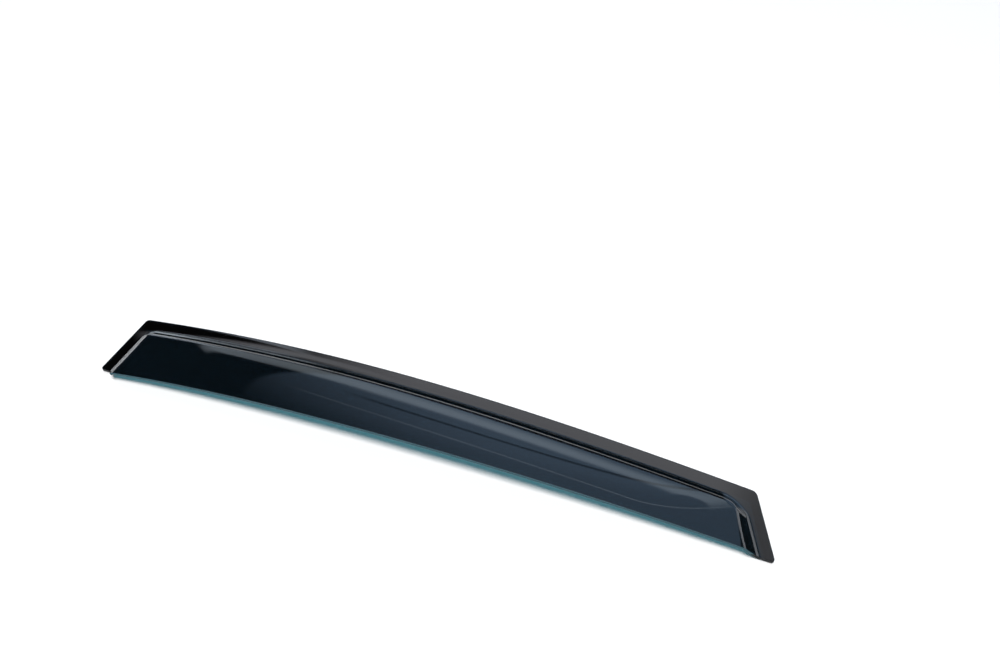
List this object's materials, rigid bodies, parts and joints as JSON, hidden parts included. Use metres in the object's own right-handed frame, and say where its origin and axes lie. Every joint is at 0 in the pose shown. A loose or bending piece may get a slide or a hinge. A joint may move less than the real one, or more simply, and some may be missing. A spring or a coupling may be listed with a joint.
{
  "type": "window rain deflector",
  "caption": "Smoked acrylic window rain deflector for a rear side door: a crowned blade with a joggled flange, held to the window frame by foam tape strips that still carry their peel-off film.",
  "frame": {"origin": "middle of the part's box, on the underside of the peel-off film, which is the plane that meets the window frame", "axes": "+X along the window, from the end with the nearly square corner to the end with the slanted edge; +Y to the top of the window; +Z away from the glass"},
  "size_m": [0.739, 0.1108, 0.0257],
  "materials": {
    "smoked_acrylic": "high gloss, smoked, see-through with a blue-green edge",
    "foam_tape": "matt black acrylic foam",
    "peel_off_film": "thin red film, half gloss"
  },
  "bodies": {
    "root": {"visor": "smoked_acrylic", "top_tape": "foam_tape", "left_tape": "foam_tape", "right_upper_tape": "foam_tape", "right_lower_tape": "foam_tape", "top_liner": "peel_off_film", "left_liner": "peel_off_film", "right_upper_liner": "peel_off_film", "right_lower_liner": "peel_off_film"}
  },
  "joints": []
}
